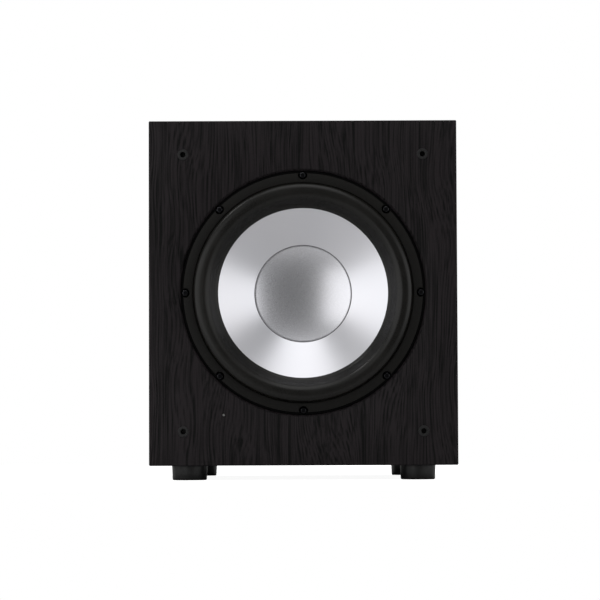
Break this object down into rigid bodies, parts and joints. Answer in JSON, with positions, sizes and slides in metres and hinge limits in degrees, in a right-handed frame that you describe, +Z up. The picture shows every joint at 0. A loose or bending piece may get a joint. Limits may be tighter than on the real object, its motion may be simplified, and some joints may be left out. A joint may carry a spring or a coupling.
{
  "type": "powered subwoofer",
  "caption": "Powered subwoofer: black wood-grain box cabinet on four feet, silver dished cone in a rubber surround, rear flared port and plate amplifier.",
  "frame": {"origin": "on the floor, under the middle of the whole object's bounding box", "axes": "+Z up, -Y out of the driver's front, +X to the right as seen from the front"},
  "size_m": [0.336, 0.4262, 0.392],
  "materials": {
    "black_ash_vinyl": "black wood-grain vinyl wrap over board",
    "raw_board": "bare medium density fibreboard",
    "wadding": "white polyester wadding",
    "foot_plastic": "semi-gloss moulded black",
    "black_plastic": "fine moulded texture",
    "gloss_black_plastic": "glossy moulded black",
    "led_lens": "diffused clear lens, unlit",
    "zinc_screw": "zinc plated",
    "black_screw": "black oxide",
    "basket_paint": "black powder coat on stamped steel",
    "trim_rubber": "matt moulded rubber",
    "surround_rubber": "satin butyl rubber",
    "foam_gasket": "closed-cell foam",
    "motor_steel": "zinc passivated",
    "ferrite": "matt sintered ferrite",
    "phenolic": "pressed laminate board",
    "brass": "plated blades",
    "cone_metal": "satin silver metallised cone",
    "cap_metal": "polished satin silver dish",
    "former_film": "amber polyimide film",
    "copper": "enamelled copper winding",
    "spider_cloth": "resin-dipped woven cotton",
    "tinsel": "braided tinsel",
    "plate_paint": "black powder coat on aluminium",
    "anodised": "black anodised extrusion",
    "board_green": "solder-masked circuit board",
    "winding_tape": "yellow tape over copper and a steel core",
    "can_sleeve": "dark blue shrink sleeve",
    "jack_nickel": "nickel-plated shells",
    "rocker_plastic": "satin moulded rocker",
    "fuse_glass": "glass tube with plated ends",
    "red_lead": "soft PVC insulation",
    "black_lead": "soft PVC insulation"
  },
  "bodies": {
    "cabinet": {"front_baffle": "black_ash_vinyl", "top_panel": "black_ash_vinyl", "bottom_panel": "black_ash_vinyl", "left_panel": "black_ash_vinyl", "right_panel": "black_ash_vinyl", "rear_panel": "black_ash_vinyl", "window_brace": "raw_board", "damping_wadding": "wadding", "foot_front_left": "foot_plastic", "foot_front_right": "foot_plastic", "foot_rear_left": "foot_plastic", "foot_rear_right": "foot_plastic", "foot_screws": "zinc_screw", "grille_sockets": "black_plastic", "status_led": "led_lens", "basket": "basket_paint", "trim_ring": "trim_rubber", "baffle_gasket": "foam_gasket", "driver_screws": "black_screw", "top_plate": "motor_steel", "magnet_ring": "ferrite", "pole_yoke": "motor_steel", "terminal_strip": "phenolic", "driver_terminals": "brass", "surround": "surround_rubber", "spider": "spider_cloth", "tinsel_leads": "tinsel", "port_outer_flare": "gloss_black_plastic", "port_tube": "black_plastic", "port_inner_flare": "black_plastic", "amp_plate": "plate_paint", "heat_sink": "anodised", "amp_gasket": "foam_gasket", "amp_plate_screws": "black_screw", "amp_housing": "black_plastic", "main_board": "board_green", "input_board": "board_green", "transformer": "winding_tape", "transformer_clamp": "zinc_screw", "filter_capacitors": "can_sleeve", "output_transistors": "black_plastic", "potentiometers": "zinc_screw", "slide_switch_bodies": "zinc_screw", "rca_jacks": "jack_nickel", "mains_rocker_frame": "gloss_black_plastic", "inlet_housing": "gloss_black_plastic", "inlet_pins": "brass", "driver_lead_red": "red_lead", "driver_lead_black": "black_lead"},
    "cone_assembly": {"cone": "cone_metal", "dust_cap": "cap_metal", "voice_coil_former": "former_film", "voice_coil": "copper"},
    "volume_control": {"volume_knob": "black_plastic"},
    "crossover_control": {"crossover_knob": "black_plastic"},
    "phase_slider": {"phase_switch_slider": "gloss_black_plastic"},
    "mode_slider": {"mode_switch_slider": "gloss_black_plastic"},
    "power_rocker": {"mains_rocker": "rocker_plastic"},
    "fuse_carrier": {"fuse_drawer": "gloss_black_plastic", "fuse": "fuse_glass"}
  },
  "joints": [
    {"name": "cone_stroke", "type": "slide", "parent": "cabinet", "child": "cone_assembly", "axis": [0, -1, 0], "range_m": [-0.01, 0.01], "stiffness_N_per_m": 4000, "deforming": ["surround", "spider", "tinsel_leads"]},
    {"name": "volume_turn", "type": "hinge", "parent": "cabinet", "child": "volume_control", "pos_m": [0.056, 0.1991, 0.174], "axis": [0, 1, 0], "range_deg": [-150, 150]},
    {"name": "crossover_turn", "type": "hinge", "parent": "cabinet", "child": "crossover_control", "pos_m": [0.016, 0.1991, 0.174], "axis": [0, 1, 0], "range_deg": [-150, 150]},
    {"name": "phase_slide", "type": "slide", "parent": "cabinet", "child": "phase_slider", "axis": [1, 0, 0], "range_m": [0, 0.004]},
    {"name": "mode_slide", "type": "slide", "parent": "cabinet", "child": "mode_slider", "axis": [1, 0, 0], "range_m": [0, 0.004]},
    {"name": "power_rock", "type": "hinge", "parent": "cabinet", "child": "power_rocker", "pos_m": [-0.048, 0.1986, 0.068], "axis": [1, 0, 0], "range_deg": [0, 20]},
    {"name": "fuse_drawer_slide", "type": "slide", "parent": "cabinet", "child": "fuse_carrier", "axis": [0, 1, 0], "range_m": [0, 0.022]}
  ]
}
